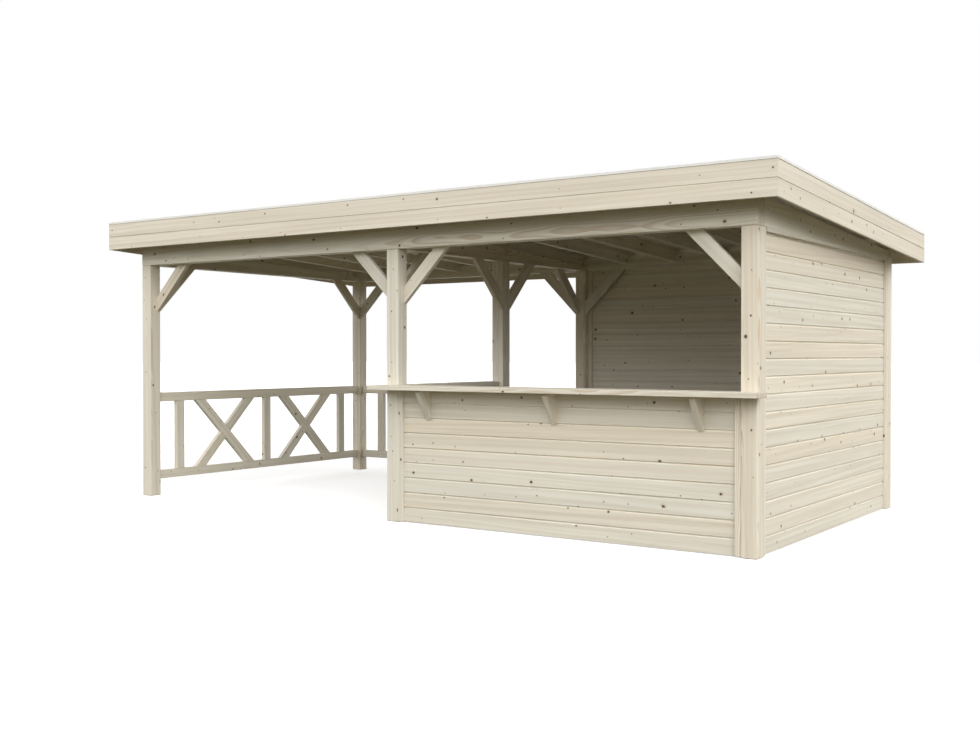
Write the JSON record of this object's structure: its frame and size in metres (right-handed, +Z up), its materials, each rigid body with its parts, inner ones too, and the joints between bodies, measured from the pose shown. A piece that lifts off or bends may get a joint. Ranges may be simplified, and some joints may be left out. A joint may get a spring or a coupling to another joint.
{
  "type": "garden pavilion",
  "caption": "Free-standing timber garden pavilion with a lean-to roof, an open railed terrace bay and a boarded bar bay with a serving counter.",
  "frame": {"origin": "on the ground, under the middle of the roof's outline", "axes": "+X along the front, from the terrace bay to the bar bay, +Y to the back, +Z up"},
  "size_m": [6.42, 3.519, 2.5326],
  "materials": {
    "post_timber": "planed untreated spruce posts, matt, with small dark knots",
    "beam_timber": "planed untreated spruce beams, matt",
    "brace_timber": "planed untreated spruce boards, matt",
    "rafter_timber": "planed untreated spruce, matt",
    "roof_board": "tongue-and-groove spruce roof boards, matt",
    "roof_felt": "mineral roofing felt, dark grey, rough",
    "fascia_board": "planed untreated spruce boards, matt, with small dark knots",
    "edge_trim": "folded sheet, off-white, satin",
    "batten_timber": "planed untreated spruce battens, matt",
    "wall_board": "tongue-and-groove spruce boards, matt, with small dark knots",
    "counter_timber": "planed spruce boards, matt",
    "railing_timber": "planed untreated spruce, matt"
  },
  "bodies": {
    "root": {"post_front_left": "post_timber", "post_front_middle": "post_timber", "post_front_right": "post_timber", "post_back_left": "post_timber", "post_back_middle": "post_timber", "post_back_right": "post_timber", "post_bar_side": "post_timber", "beam_front": "beam_timber", "beam_back": "beam_timber", "beam_left": "beam_timber", "beam_centre": "beam_timber", "beam_right": "beam_timber", "braces_front_left": "brace_timber", "braces_front_middle": "brace_timber", "braces_front_right": "brace_timber", "braces_back_left": "brace_timber", "braces_back_middle": "brace_timber", "braces_back_right": "brace_timber", "braces_bar_side": "brace_timber", "rafters": "rafter_timber", "roof_boards": "roof_board", "roof_felt": "roof_felt", "fascia_front_lower": "fascia_board", "fascia_front_upper": "fascia_board", "fascia_back_lower": "fascia_board", "fascia_back_upper": "fascia_board", "fascia_left_lower": "fascia_board", "fascia_left_upper": "fascia_board", "fascia_right_lower": "fascia_board", "fascia_right_upper": "fascia_board", "trim_front": "edge_trim", "trim_back": "edge_trim", "trim_left": "edge_trim", "trim_right": "edge_trim", "wall_right": "wall_board", "wall_back": "wall_board", "wall_bar_front": "wall_board", "wall_bar_side": "wall_board", "wall_battens": "batten_timber", "counter_front": "counter_timber", "counter_side": "counter_timber", "counter_brackets": "counter_timber", "railing_left": "railing_timber", "railing_back": "railing_timber"}
  },
  "joints": []
}
